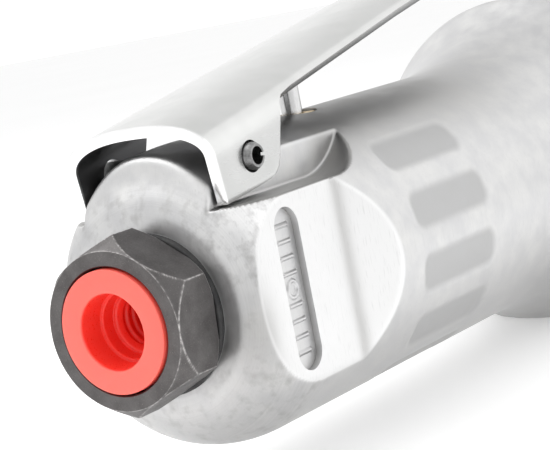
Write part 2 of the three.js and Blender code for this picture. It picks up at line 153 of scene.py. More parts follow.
def smooth_min(a, b, soft):
    """The smaller of two values, with the change from one to the other rounded off."""
    near = np.maximum(soft - np.abs(a - b), 0.0) / soft
    return np.minimum(a, b) - near ** 2 * soft / 4


def smooth_max(a, b, soft):
    """The larger of two values, with the change from one to the other rounded off."""
    return -smooth_min(-a, -b, soft)


def smooth_step(value, low, high):
    """0 below low and 1 above high, with a smooth rise between them."""
    share = np.clip((value - low) / (high - low), 0.0, 1.0)
    return share * share * (3 - 2 * share)


def bell(value, centre, width):
    """1 at the centre, fading out to both sides over about the width."""
    return np.exp(-((value - centre) / width) ** 2)


def merged_lines(*groups, gap):
    """Grid lines from several groups, sorted, with none closer than the gap to the last one kept."""
    lines = []
    for line in sorted(np.concatenate(groups)):
        if not lines or line - lines[-1] >= gap:
            lines.append(line)
    return np.array(lines)


def cluster(centre, reach, count):
    """Grid lines close together round a place."""
    return centre + np.linspace(-reach, reach, count)


def linked(name, data):
    """A new object in the scene."""
    thing = bpy.data.objects.new(name, data)
    bpy.context.scene.collection.objects.link(thing)
    return thing


def turned_outward(mesh, inside_out):
    """Turns the faces of a mesh round if a test says that they face the wrong way."""
    work = bmesh.new()
    work.from_mesh(mesh)
    work.normal_update()
    if inside_out(work):
        bmesh.ops.reverse_faces(work, faces=work.faces)
    work.to_mesh(mesh)
    work.free()


def new_object(name, points, faces, values=None):
    """A mesh object from tool-millimetre points, with values as masks and its faces turned outward."""
    mesh = bpy.data.meshes.new(name)
    mesh.from_pydata(placed(points).tolist(), [], [list(face) for face in faces])
    for attribute, numbers in (values or {}).items():
        layer = mesh.attributes.new(attribute, "FLOAT", "POINT")
        layer.data.foreach_set("value", np.asarray(numbers, np.float32).ravel())
    turned_outward(mesh, lambda work: work.calc_volume(signed=True) < 0)
    return linked(name, mesh)


def loop_grid(rows, columns, wrap_rows=False, wrap_columns=True):
    """Quads over a grid of rows by columns of points, closed round the ways that wrap."""
    faces = []
    for i in range(rows if wrap_rows else rows - 1):
        for j in range(columns if wrap_columns else columns - 1):
            following_i = (i + 1) % rows
            following_j = (j + 1) % columns
            faces.append((
                i * columns + j,
                i * columns + following_j,
                following_i * columns + following_j,
                following_i * columns + j,
            ))
    return faces


def capped_loops(rows, columns):
    """Quads along a row of loops, with a cap on the first loop and on the last."""
    count = rows * columns
    return [
        *loop_grid(rows, columns),
        tuple(range(columns)),
        tuple(range(count - 1, count - columns - 1, -1)),
    ]


def polar_rows(x, radius, angles):
    """Points from places along the axis, radii and angles. Angle 0 is up, and a quarter turn is left."""
    return np.stack(np.broadcast_arrays(x, radius * np.sin(angles), radius * np.cos(angles)), axis=-1)


def circle_rows(profile, angles):
    """Points of [x, radius] places turned about the tool axis."""
    x, radius = np.array(profile, float).T[:, :, None]
    return polar_rows(x, radius, angles)


def rounded_profile(corners, steps=3):
    """A closed profile of [x, radius, corner radius] places with each corner rounded off."""
    points = []
    count = len(corners)
    short_of_half = 0.48
    for i, (x, radius, round_off) in enumerate(corners):
        here = np.array([x, radius])
        if round_off <= 0:
            points.append(here)
            continue
        back = np.array(corners[i - 1][:2]) - here
        on = np.array(corners[(i + 1) % count][:2]) - here
        reach_back = min(round_off, np.linalg.norm(back) * short_of_half)
        reach_on = min(round_off, np.linalg.norm(on) * short_of_half)
        start = here + back / np.linalg.norm(back) * reach_back
        end = here + on / np.linalg.norm(on) * reach_on
        for t in np.linspace(0, 1, steps + 1):
            points.append((1 - t) ** 2 * start + 2 * t * (1 - t) * here + t ** 2 * end)
    return points


def sleeve(name, outer, inner, values=None):
    """A hollow piece from rows of points, forward along its outside and back along its inside."""
    points = np.concatenate([outer, inner])
    faces = loop_grid(len(points), points.shape[1], wrap_rows=True)
    return new_object(name, points.reshape(-1, 3), faces, values)


def turned(name, corners, solid=False):
    """A rounded profile turned about the tool axis: a ring, or a solid if its ends lie on the axis."""
    profile = rounded_profile(corners)
    rings = profile[1:-1] if solid else profile
    angles = np.arange(TURNED_SIDES) * math.tau / TURNED_SIDES
    points = circle_rows(rings, angles).reshape(-1, 3)
    faces = loop_grid(len(rings), TURNED_SIDES, wrap_rows=not solid)
    if solid:
        rear, front, last = len(points), len(points) + 1, len(points) - TURNED_SIDES
        for here in range(TURNED_SIDES):
            following = (here + 1) % TURNED_SIDES
            faces.append((rear, following, here))
            faces.append((front, last + here, last + following))
        points = np.vstack([points, [profile[0][0], 0, 0], [profile[-1][0], 0, 0]])
    return new_object(name, points, faces)


def bar(name, start, end, radius, sides=64, edge=0.0):
    """A round bar between two tool-millimetre points, with its end edges chamfered."""
    start, end = np.array(start, float), np.array(end, float)
    along = (end - start) / np.linalg.norm(end - start)
    across = np.cross(along, [1.0, 0.0, 0.0] if abs(along[0]) < 0.9 else [0.0, 1.0, 0.0])
    across /= np.linalg.norm(across)
    third = np.cross(along, across)
    angles = np.arange(sides) * math.tau / sides
    ring = np.outer(np.cos(angles), across) + np.outer(np.sin(angles), third)
    stations = [(start, radius), (end, radius)]
    if edge > 0:
        stations = [
            (start, radius - edge),
            (start + along * edge, radius),
            (end - along * edge, radius),
            (end, radius - edge),
        ]
    points = np.vstack([centre + ring * size for centre, size in stations])
    return new_object(name, points, capped_loops(len(stations), sides))


def applied(piece):
    """Makes a piece's modifiers part of its mesh."""
    bpy.context.view_layer.update()
    result = piece.evaluated_get(bpy.context.evaluated_depsgraph_get())
    mesh = bpy.data.meshes.new_from_object(result)
    piece.modifiers.clear()
    old = piece.data
    piece.data = mesh
    bpy.data.meshes.remove(old)
    mesh.name = piece.name


def drilled(piece, tools):
    """Cuts other solids out of a piece, and uses them up."""
    for tool in tools:
        modifier = piece.modifiers.new("solid", "BOOLEAN")
        modifier.operation = "DIFFERENCE"
        modifier.solver = "EXACT"
        modifier.object = tool
    applied(piece)
    for tool in tools:
        bpy.data.objects.remove(tool)


def painted(piece, masks):
    """Writes masks, a function of tool-millimetre points, to the piece's vertices for its material."""
    places = np.zeros(len(piece.data.vertices) * 3)
    piece.data.vertices.foreach_get("co", places)
    points = (places.reshape(-1, 3) - placed([0, 0, 0])) / MM
    for name, numbers in masks(points).items():
        layer = piece.data.attributes.new(name, "FLOAT", "POINT")
        layer.data.foreach_set("value", np.clip(numbers, 0, 1).astype(np.float32))


def finished(piece, slot, node, body="tool_body", crisp=35):
    """Gives a piece its finish, parents it to the body it moves with, and hides the CAD node it stands for.

    It is shaded smooth, but for edges sharper than crisp degrees.
    """
    piece.data.shade_smooth()
    piece.data.set_sharp_from_angle(angle=math.radians(crisp))
    piece.data.materials.clear()
    piece.data.materials.append(FINISHES[slot])
    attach(piece, body)
    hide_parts(node)


# ------------------------------ materials


class Nodes:
    """A short way to add nodes to a tree. Each value is a socket or a number."""

    def __init__(self, tree):
        self.nodes, self.links = tree.nodes, tree.links

    def add(self, kind, inputs=(), **settings):
        node = self.nodes.new(kind)
        for setting, value in settings.items():
            setattr(node, setting, value)
        for socket, value in dict(inputs).items():
            self.put(node.inputs[socket], value)
        return node

    def put(self, socket, value):
        if isinstance(value, bpy.types.NodeSocket):
            self.links.new(value, socket)
        else:
            socket.default_value = value

    def math(self, operation, first, second=0.0):
        return self.add("ShaderNodeMath", {0: first, 1: second}, operation=operation).outputs[0]

    def ranged(self, value, low, high, to_low, to_high, **settings):
        """A value between low and high, moved to between to_low and to_high."""
        inputs = {"Value": value, "From Min": low, "From Max": high, "To Min": to_low, "To Max": to_high}
        return self.add("ShaderNodeMapRange", inputs, **settings).outputs["Result"]


class Look(Nodes):
    """A node material round one Principled shader."""

    def __init__(self, name):
        self.material = bpy.data.materials.new(name)
        self.material.use_nodes = True
        super().__init__(self.material.node_tree)
        self.shader = self.nodes["Principled BSDF"]
        self.object_space = self.add("ShaderNodeTexCoord").outputs["Object"]

    def mask(self, name):
        """A mask that painted() or new_object() wrote."""
        return self.add("ShaderNodeAttribute", attribute_name=name).outputs["Fac"]

    def share(self, name, most):
        """A mask from the mesh, with its 1 lowered to this much."""
        return self.math("MULTIPLY", self.mask(name), most)

    def scaled(self, x, y, z):
        """Object coordinates stretched along each axis, for streaks and brushed marks."""
        inputs = {"Vector": self.object_space, "Scale": (x, y, z)}
        return self.add("ShaderNodeMapping", inputs).outputs["Vector"]

    def noise(self, size, detail, vector=None):
        """Noise whose blobs are about this many millimetres across, from 0 to 1."""
        return self.add("ShaderNodeTexNoise", {
            "Vector": self.object_space if vector is None else vector,
            "Scale": 1 / (size * MM),
            "Detail": detail,
            "Roughness": 0.55,
        }).outputs["Fac"]

    def mixed(self, factor, first, second):
        """Mixes two colours, each a socket or an RGB triple."""
        node = self.add("ShaderNodeMix", {"Factor": factor}, data_type="RGBA")
        for socket, value in ((node.inputs[6], first), (node.inputs[7], second)):
            self.put(socket, value if isinstance(value, bpy.types.NodeSocket) else (*value, 1.0))
        return node.outputs[2]

    def mottled(self, noise, low, high, first, second):
        """The first colour where the noise is low and the second where it is high."""
        return self.mixed(self.ranged(noise, low, high, 0, 1), first, second)

    def bump(self, height, depth, strength, below=None):
        """A bump of this depth in millimetres, laid on another bump if one is given."""
        inputs = {"Height": height, "Distance": depth * MM, "Strength": strength}
        if below is not None:
            inputs["Normal"] = below
        return self.add("ShaderNodeBump", inputs).outputs["Normal"]

    def radial_space(self):
        """Coordinates (distance from the tool axis, place along it, 0), for marks left by turning."""
        parts = self.add("ShaderNodeSeparateXYZ", {0: self.object_space}).outputs
        height = self.math("SUBTRACT", parts["Z"], AXIS_Z)
        side_square = self.math("MULTIPLY", parts["Y"], parts["Y"])
        squares = self.math("ADD", side_square, self.math("MULTIPLY", height, height))
        radius = self.math("SQRT", squares)
        return self.add("ShaderNodeCombineXYZ", {"X": radius, "Y": parts["X"]}).outputs[0]

    def done(self, colour, roughness, normal=None, metallic=1.0, **constants):
        """The finished material. A constant's name is its socket's, with _ for each space."""
        self.put(self.shader.inputs["Base Color"], colour)
        self.put(self.shader.inputs["Roughness"], roughness)
        self.shader.inputs["Metallic"].default_value = metallic
        if normal is not None:
            self.put(self.shader.inputs["Normal"], normal)
        for socket, value in constants.items():
            self.shader.inputs[socket.replace("_", " ")].default_value = value
        return self.material


def grey(level):
    """An RGB triple without colour."""
    return (level, level, level)


def satin_aluminium():
    """Turned dome, milled flats and a bead-blasted grip with coarser finger pads."""
    look = Look("satin_aluminium")
    turned_part = look.mask("turned")
    grain = look.noise(0.16, 3)
    patches = look.noise(3.5, 3)
    round_space = look.radial_space()
    swirls = look.noise(0.45, 4, round_space)
    rings = look.noise(0.13, 2, round_space)
    smudges = look.noise(1.7, 6)
    milling = look.noise(0.2, 3, look.scaled(1.0, 1.0, 0.1))
    colour = look.mottled(patches, 0.35, 0.7, (0.55, 0.55, 0.555), (0.64, 0.638, 0.632))
    # milled side flats, painted brighter than the grip as painted light on that side
    colour = look.mixed(look.share("milled_and_painted_bright", 0.85), colour, grey(0.74))
    # painted highlight: a bright patch on the right of the dome
    colour = look.mixed(look.share("painted_highlight", 0.8), colour, grey(0.95))
    marks = look.math("MULTIPLY", look.ranged(swirls, 0.42, 0.68, 0, 0.22), turned_part)
    colour = look.mixed(marks, colour, (0.36, 0.36, 0.365))
    dull = look.math("MULTIPLY", look.ranged(smudges, 0.5, 0.72, 0, 0.6), turned_part)
    colour = look.mixed(dull, colour, (0.36, 0.355, 0.35))
    colour = look.mixed(look.ranged(milling, 0.56, 0.74, 0, 0.3), colour, grey(0.44))
    # painted shade: darker in the crease, ledges, corners, by the hexagon, below, under the lever and in the
    # slot
    colour = look.mixed(look.share("painted_shade", 0.9), colour, (0.24, 0.235, 0.225))
    colour = look.mixed(look.share("pads", 0.75), colour, grey(0.42))
    # painted highlight along the housing's edges
    colour = look.mixed(look.share("edges", 0.2), colour, grey(0.9))
    roughness = look.math("ADD", look.ranged(patches, 0.3, 0.7, 0.34, 0.46), look.share("pads", 0.12))
    fine = look.bump(grain, 0.012, 0.55)
    brushed = look.bump(milling, 0.008, 0.35, fine)
    circled = look.bump(look.math("MULTIPLY", rings, turned_part), 0.016, 0.5, brushed)
    return look.done(colour, roughness, circled)


def black_oxide():
    """Blackened steel, speckled, with bright lines where its edges have worn."""
    look = Look("black_oxide_steel")
    speckle = look.noise(0.22, 4)
    patches = look.noise(2.6, 3)
    colour = look.mottled(patches, 0.35, 0.7, (0.108, 0.102, 0.101), (0.150, 0.143, 0.142))
    flecks = look.ranged(look.noise(0.14, 3), 0.62, 0.74, 0, 0.6)
    colour = look.mixed(flecks, colour, (0.30, 0.28, 0.26))
    broken = look.ranged(look.noise(0.55, 4), 0.38, 0.62, 0.12, 1)
    rubbed = look.math("MULTIPLY", look.mask("edges"), broken)
    colour = look.mixed(rubbed, colour, (0.62, 0.60, 0.59))
    roughness = look.ranged(speckle, 0.3, 0.7, 0.42, 0.58)
    return look.done(colour, roughness, look.bump(speckle, 0.02, 0.5))


def nickel_plate():
    """Bright plated sheet with faint drawn lines, a few flecks and soft waves; rougher, with painted shade,
    inside.
    """
    look = Look("nickel_plate")
    drawn = look.noise(0.3, 3, look.scaled(0.06, 1.0, 1.0))
    waves = look.noise(6.0, 2)
    flecks = look.ranged(look.noise(0.45, 5), 0.70, 0.78, 0, 0.55)
    colour = look.mottled(waves, 0.35, 0.7, (0.63, 0.635, 0.625), (0.68, 0.682, 0.675))
    colour = look.mixed(flecks, colour, (0.45, 0.45, 0.46))
    # painted shade on the inside of the sheet and, a little, on its legs
    colour = look.mixed(look.share("inner", 0.9), colour, (0.16, 0.16, 0.165))
    # painted highlight on the lever's sheared rear edge
    colour = look.mixed(look.share("edges", 0.9), colour, grey(0.92))
    roughness = look.math("ADD", look.ranged(drawn, 0.3, 0.7, 0.15, 0.24), look.share("inner", 0.25))
    normal = look.bump(waves, 0.03, 0.3, look.bump(drawn, 0.004, 0.4))
    return look.done(colour, roughness, normal)


def plain_steel(name, dark, light, low_roughness, high_roughness, stretch=(1.0, 1.0, 1.0), size=0.3):
    """Machined or drawn steel: fine lines along the stretched direction over a soft mottle."""
    look = Look(name)
    lines = look.noise(size, 4, look.scaled(*stretch))
    patches = look.noise(3.0, 3)
    mottle = look.math("MULTIPLY", look.math("ADD", lines, patches), 0.5)
    colour = look.mottled(mottle, 0.35, 0.65, dark, light)
    roughness = look.ranged(lines, 0.3, 0.7, low_roughness, high_roughness)
    return look.done(colour, roughness, look.bump(lines, 0.008, 0.5))


def red_plastic():
    """Moulded plastic: a matt face outside painted pale as a painted sheen, a deeper glossy red in the hole.
    """
    look = Look("red_plastic")
    mould = look.noise(0.25, 3)
    cloud = look.noise(4.0, 2)
    deep = look.mixed(cloud, (0.93, 0.045, 0.03), (0.98, 0.065, 0.045))
    # painted sheen: the rear face is painted paler than the red of the hole
    colour = look.mixed(look.mask("face"), deep, (0.93, 0.155, 0.12))
    roughness = look.math("ADD", look.ranged(mould, 0.3, 0.7, 0.26, 0.34), look.share("face", 0.18))
    return look.done(
        colour,
        roughness,
        look.bump(mould, 0.01, 0.3),
        metallic=0.0,
        Subsurface_Weight=0.35,
        Subsurface_Scale=0.001,
    )


def black_rubber():
    """Matt black rubber with a little dust."""
    look = Look("black_rubber")
    grain = look.noise(0.2, 4)
    dust = look.noise(2.5, 4)
    colour = look.mottled(dust, 0.45, 0.75, (0.014, 0.014, 0.015), (0.045, 0.044, 0.043))
    roughness = look.ranged(grain, 0.3, 0.7, 0.5, 0.72)
    return look.done(colour, roughness, look.bump(grain, 0.02, 0.5), metallic=0.0)


def brass():
    """Turned brass, tarnished in places."""
    look = Look("brass")
    rings = look.noise(0.2, 3, look.radial_space())
    tarnish = look.noise(2.0, 4)
    colour = look.mottled(tarnish, 0.4, 0.7, (0.78, 0.56, 0.22), (0.52, 0.36, 0.14))
    roughness = look.ranged(rings, 0.3, 0.7, 0.22, 0.38)
    return look.done(colour, roughness, look.bump(rings, 0.008, 0.5))


FINISHES = {
    "satin_aluminium": satin_aluminium(),
    "black_oxide_steel": black_oxide(),
    "nickel_plate": nickel_plate(),
    "pin_steel": plain_steel("pin_steel", grey(0.16), grey(0.34), 0.26, 0.42, size=0.25),
    "ground_steel": plain_steel("ground_steel", grey(0.56), grey(0.70), 0.18, 0.32, (1.0, 1.0, 0.15)),
    "cylinder_steel": plain_steel(
        "cylinder_steel", (0.20, 0.20, 0.205), (0.34, 0.34, 0.335), 0.30, 0.45, (1.0, 0.2, 0.2)
    ),
    "spring_steel": plain_steel(
        "spring_steel", (0.42, 0.42, 0.43), (0.60, 0.60, 0.595), 0.22, 0.36, size=0.5
    ),
    "red_plastic": red_plastic(),
    "black_rubber": black_rubber(),
    "brass": brass(),
}

# ------------------------------ housing


def body_radius(x):
    """Radius of the housing's turned shape: dome, round grip, flare and rounded lip."""
    x = np.asarray(x, float)
    u = np.clip((DOME_END - x) / (DOME_END - HOUSING_REAR), 0, 1)
    dome = DOME_REAR_RADIUS + (GRIP_RADIUS - DOME_REAR_RADIUS) * (1 - u ** DOME_POWER) ** (1 / DOME_POWER)
    height = FLARE_RADIUS - GRIP_RADIUS
    run = FLARE_END - FLARE_START
    sweep = (run ** 2 + height ** 2) / (2 * height)
    along = np.clip(x - FLARE_START, 0, run)
    flare = GRIP_RADIUS + sweep - np.sqrt(sweep ** 2 - along ** 2)
    over = np.clip(x - (HOUSING_FRONT - HOUSING_LIP), 0, HOUSING_LIP)
    lip_drop = HOUSING_LIP - np.sqrt(HOUSING_LIP ** 2 - over ** 2)
    return np.where(x < DOME_END, dome, flare - lip_drop)


def pad_cover(x, angle):
    """1 in the finger pads round the grip, each a rounded bar along the tool, and 0 elsewhere."""
    pitch = math.tau / PAD_PLACES
    place = np.round(angle / pitch)
    across = (angle - place * pitch) * GRIP_RADIUS
    middle, half_length = (PAD_REAR + PAD_FRONT) / 2, (PAD_FRONT - PAD_REAR) / 2
    beyond_x = np.abs(x - middle) - (half_length - PAD_CORNER)
    beyond_y = np.abs(across) - (PAD_HALF_WIDTH - PAD_CORNER)
    outside = np.hypot(np.maximum(beyond_x, 0), np.maximum(beyond_y, 0))
    distance = outside + np.minimum(np.maximum(beyond_x, beyond_y), 0) - PAD_CORNER
    soft_inside, soft_outside = 0.8, 0.5
    cover = 1 - smooth_step(distance, -soft_inside, soft_outside)
    return np.where(np.abs(place) >= PADS_LEFT_OUT, cover, 0.0)


def turned_distance(x, radius):
    """Distance outside the housing's turned shape: a superellipse dome, then the grip and its flare."""
    length, height = DOME_END - HOUSING_REAR, GRIP_RADIUS - DOME_REAR_RADIUS
    u = np.clip((DOME_END - x) / length, 1e-6, None)
    v = np.clip((radius - DOME_REAR_RADIUS) / height, 1e-6, None)
    steep_x = DOME_POWER * u ** (DOME_POWER - 1) / length
    steep_r = DOME_POWER * v ** (DOME_POWER - 1) / height
    dome = (u ** DOME_POWER + v ** DOME_POWER - 1) / np.hypot(steep_x, steep_r)
    return np.where(x < DOME_END, dome, radius - body_radius(x))


def lug_distance(x, y, z):
    """Distance outside the lug under the lever: an arch with a rounded rear, up to where the grip starts."""
    arch_centre = LUG_TOP - LUG_ARCH
    arch = np.hypot(y, z - arch_centre) - LUG_ARCH
    round_top = np.hypot(y, z) - GRIP_RADIUS
    blend_start, blend_end, overlap = LUG_REAR + 1.0, LUG_REAR + 5.0, 1.5
    top = arch + (np.minimum(arch, round_top) - arch) * smooth_step(x, blend_start, blend_end)
    front = x - (DOME_END + overlap)
    outline = np.maximum(np.maximum(top, np.abs(y) - LUG_HALF_WIDTH), np.maximum(arch_centre - z, front))
    return smooth_max(outline, LUG_REAR - x, LUG_REAR_FILLET)


def ledge_distance(x, y, z):
    """Distance into the cuts beside the lug: a level floor that sweeps up at its front end."""
    centre_z = POCKET_FLOOR + POCKET_SWEEP
    sweep = POCKET_SWEEP - np.hypot(x - POCKET_END, z - centre_z)
    above_floor = np.where(x > POCKET_END, sweep, z - POCKET_FLOOR)
    above_floor = np.where(z > centre_z, POCKET_END + POCKET_SWEEP - x, above_floor)
    return smooth_min(above_floor, np.abs(y) - LUG_HALF_WIDTH, LEDGE_EDGE)


def flat_distance(x, y):
    """Distance outside the side flats, which ramp out to the grip at their front."""
    slope = (GRIP_RADIUS - SIDE_FLAT) / (RAMP_END - FLAT_END)
    ramp = (np.abs(y) - SIDE_FLAT - slope * (x - FLAT_END)) / math.hypot(1, slope)
    return smooth_min(np.abs(y) - SIDE_FLAT, ramp, RAMP_FILLET)


def housing_distance(x, radius, angle):
    """Distance outside the housing, with its corners filleted and its edges broken."""
    y, z = radius * np.sin(angle), radius * np.cos(angle)
    body = smooth_min(turned_distance(x, radius), lug_distance(x, y, z), LUG_FOOT_FILLET)
    with_flats = smooth_max(body, flat_distance(x, y), FLAT_EDGE)
    with_ledges = smooth_max(with_flats, ledge_distance(x, y, z), LEDGE_EDGE)
    nowhere = -1e3
    below_rest = np.where(x > FLARE_START, -REST_HEIGHT - z, nowhere)
    return smooth_max(with_ledges, below_rest, REST_EDGE)


def housing_radius(x, angle):
    """Radius of the housing's surface at each place along it and angle from the top, by halving."""
    least, halvings = 8.0, 24
    low = np.full(x.shape, least)
    high = np.full(x.shape, FLARE_RADIUS + 2)
    for _ in range(halvings):
        middle = (low + high) / 2
        outside = housing_distance(x, middle, angle) > 0
        high = np.where(outside, middle, high)
        low = np.where(outside, low, middle)
    radius = (low + high) / 2
    return radius - PAD_DEPTH * pad_cover(x, angle)


def wall_of_slot(x, y, z):
    """True on the wall of the slot in the right side."""
    slack = 0.05
    beyond = np.maximum(np.abs(z) - SLOT_REACH, 0)
    on_rim = np.abs(np.hypot(x - SLOT_X, beyond) - SLOT_HALF_WIDTH) < slack
    return on_rim & (y > slack - SIDE_FLAT) & (y < 0)


def housing_masks(points):
    """Masks for the housing's finishes.

    They cover the side flats, milled and also painted brighter as painted light; a painted highlight on a
    patch of the dome and along the corners; the sunk pads; and the turned dome. The painted shade is higher
    in the crease, on the ledges, in the corners, beside the hexagon, below, under the lever and on the slot's
    walls.
    """
    x, y, z = points.T
    radius, angle = np.hypot(y, z), np.arctan2(y, z)
    lug, flat, ledge = lug_distance(x, y, z), flat_distance(x, y), ledge_distance(x, y, z)
    body = turned_distance(x, radius)
    solid = np.minimum(body, lug)
    skin, slack = 0.45, 0.1
    outside = radius > SEAL_SEAT_RADIUS + slack
    on_skin = (np.abs(housing_distance(x, radius, angle)) < skin) & outside
    off_flat = flat <= np.maximum(body, ledge) - slack

    # the side flats: milled, and painted brighter in the material as painted light
    milled_and_painted_bright = smooth_step(flat - np.maximum(solid, ledge), -0.3, 0.05)
    in_plan = 1 - smooth_step(LUG_HALF_WIDTH + 0.35 - np.abs(y), -0.25, 0.1)
    in_ledge = (ledge > np.maximum(solid, flat) - slack) * in_plan * (z > POCKET_FLOOR - 2 * slack)
    off_ledge = in_ledge < 0.5
    # painted highlight on a patch of the dome, off the flats and ledges
    painted_highlight = bell(angle, -1.0, 0.4) * bell(x, 12.0, 4.0) * off_flat * off_ledge
    # painted highlight along the edges where the housing's surfaces meet
    nearest = np.sort([solid, flat, ledge], axis=0)
    near_edge = 1 - smooth_step(nearest[2] - nearest[1], 0.0, 0.3)
    in_pad = pad_cover(x, angle) * (radius > GRIP_RADIUS - 0.6) * (x > PAD_REAR - 2)
    dome = (1 - smooth_step(x, DOME_END - 3, DOME_END + 3)) * smooth_step(lug, 0.1, 1.2) * off_flat

    # painted shade: crease, ledges, pocket corners, beside the hexagon, below, and the lever's shadow on the
    # grip
    crease = bell(x, FLAT_END + 0.2, 0.9) * ~off_flat
    corner = bell(np.abs(y), LUG_HALF_WIDTH, 0.3) * bell(z, POCKET_FLOOR, 0.5)
    shade_beside_hex = bell(angle, -1.85, 0.4) * bell(x, 9.0, 2.5)
    underside = smooth_step(-z, 3.0, 15.0) * off_flat
    on_top = 1 - smooth_step(np.abs(angle), 0.35, 1.1)
    lever_shadow = on_top * smooth_step(x, 30, 36) * (1 - smooth_step(x, 60, 95)) * off_ledge
    painted_shade = 0.5 * crease + 0.75 * in_ledge + 0.5 * corner
    painted_shade += 0.6 * shade_beside_hex + 0.27 * underside + 0.7 * lever_shadow
    return {
        "milled_and_painted_bright": milled_and_painted_bright * on_skin,
        "painted_highlight": painted_highlight * on_skin,
        "edges": near_edge * on_skin * off_ledge,
        "pads": in_pad * on_skin,
        "turned": dome * on_skin,
        # painted shade, with more of it on the slot's walls
        "painted_shade": painted_shade * on_skin + 0.6 * (wall_of_slot(x, y, z) & outside),
    }


def slot_relief(x, z):
    """Height of the slot floor's generic raised marks: a ring between rows of short ribs."""
    pitch, ribs_each_way, rib_reach, ring_radius, half_width = 1.9, 4, 1.2, 1.0, 0.18
    across, along = np.abs(x - SLOT_X), np.abs(z)
    place = np.clip(np.round(along / pitch), 1, ribs_each_way)
    rib = np.hypot(np.maximum(across - rib_reach, 0), along - place * pitch) - half_width
    ring = np.abs(np.hypot(across, along) - ring_radius) - half_width
    return SLOT_MARK_HEIGHT * (1 - smooth_step(np.minimum(rib, ring), -0.1, 0.16))


def slot_tool():
    """The solid that cuts the side slot. Its inner face carries the marks, so the slot's floor does too."""
    columns, side_rows, end_rows = 61, 180, 24
    short_of_tip = 0.06
    rows = np.concatenate([
        -SLOT_REACH - SLOT_HALF_WIDTH * np.cos(np.linspace(short_of_tip, math.pi / 2, end_rows)),
        np.linspace(-SLOT_REACH, SLOT_REACH, side_rows)[1:-1],
        SLOT_REACH + SLOT_HALF_WIDTH * np.sin(np.linspace(0, math.pi / 2 - short_of_tip, end_rows)),
    ])
    beyond = np.maximum(np.abs(rows) - SLOT_REACH, 0)
    half_width = np.sqrt(SLOT_HALF_WIDTH ** 2 - beyond ** 2)
    x = SLOT_X + np.outer(half_width, np.linspace(-1, 1, columns))
    z = np.repeat(rows[:, None], columns, axis=1)
    inner = np.stack([x, SLOT_DEPTH - SIDE_FLAT - slot_relief(x, z), z], axis=-1)
    outer = np.stack([x, np.full(x.shape, -GRIP_RADIUS), z], axis=-1)
    loops = np.concatenate([inner, outer[:, ::-1]], axis=1)
    return new_object("slot_tool", loops.reshape(-1, 3), capped_loops(len(rows), 2 * columns))


def housing_stations():
    """Places along the housing, closest together on the dome, at the lug's rear and in the pockets."""
    detailed_to, plain_from = 50, 65
    lip_start = HOUSING_FRONT - HOUSING_LIP
    x_lines = merged_lines(
        DOME_END - (DOME_END - HOUSING_REAR) * np.cos(np.linspace(0, math.pi / 2, 56)),
        np.arange(HOUSING_REAR, detailed_to, 0.24),
        cluster(LUG_REAR, 1.0, 41),
        np.arange(POCKET_END, POCKET_END + POCKET_SWEEP, 0.12),
        np.arange(detailed_to, plain_from, 0.4),
        np.arange(plain_from, lip_start, 0.9),
        lip_start + HOUSING_LIP * np.sin(np.linspace(0, math.pi / 2, 12)),
        gap=0.045,
    )
    x_lines[-1] = HOUSING_FRONT
    return x_lines


def housing_turns():
    """Angles round the housing, closest together at its lengthways edges and on the lug's walls."""
    wall_top = math.atan2(LUG_HALF_WIDTH, math.sqrt(GRIP_RADIUS ** 2 - LUG_HALF_WIDTH ** 2))
    wall_foot = math.atan2(LUG_HALF_WIDTH, POCKET_FLOOR)
    ledge_edge = math.atan2(SIDE_FLAT, POCKET_FLOOR)
    flat_foot = math.pi - math.asin(SIDE_FLAT / GRIP_RADIUS)
    groups = [np.linspace(-math.pi, math.pi, 400, endpoint=False)]
    for side in (-1, 1):
        groups += [cluster(side * edge, 0.02, 7) for edge in (wall_top, wall_foot, ledge_edge, flat_foot)]
        groups.append(side * np.linspace(wall_top - 0.03, wall_foot + 0.06, 36))
    return merged_lines(*groups, gap=0.0045)


def housing_bores():
    """The bores as [x, radius] places, from the barrel's at the front to the seal ring's seat at the rear."""
    barrel, passage, valve_chamber, inlet = 15.2, 5.5, 7.3, 8.6
    barrel_foot, passage_rear, chamber_rear, seat_front, chamfer = 52.0, 39.3, 24.0, 8.9, 0.8
    return [
        (HOUSING_FRONT, barrel + chamfer), (HOUSING_FRONT - chamfer, barrel),
        (barrel_foot, barrel), (barrel_foot, passage),
        (passage_rear, passage), (passage_rear, valve_chamber),
        (chamber_rear, valve_chamber), (chamber_rear, inlet),
        (seat_front, inlet), (seat_front, SEAL_SEAT_RADIUS), (HOUSING_REAR, SEAL_SEAT_RADIUS),
    ]


def pin_drill(reach, sides=64):
    """The solid that drills the pin's hole, this far to each side."""
    return bar("pin_drill", (PIVOT_X, -reach, PIVOT_Z), (PIVOT_X, reach, PIVOT_Z), PIN_HOLE_RADIUS, sides)


def housing():
    """Grip, dome, flare and lug in one casting, with its slot and the holes for the pin and the stem."""
    angles = housing_turns()
    x_grid, angle_grid = np.meshgrid(housing_stations(), angles, indexing="ij")
    outer = polar_rows(x_grid, housing_radius(x_grid, angle_grid), angle_grid)
    piece = sleeve("aluminium_housing", outer, circle_rows(housing_bores(), angles))
    past_lug, stem_low, past_grip, stem_bore = 13, 7.9, 22, 3.3
    stem_drill = bar("stem_drill", (STEM_X, 0, stem_low), (STEM_X, 0, past_grip), stem_bore)
    drilled(piece, [slot_tool(), pin_drill(past_lug, 48), stem_drill])
    painted(piece, housing_masks)
    finished(piece, "satin_aluminium", "housing", crisp=45)


# ------------------------------ air inlet


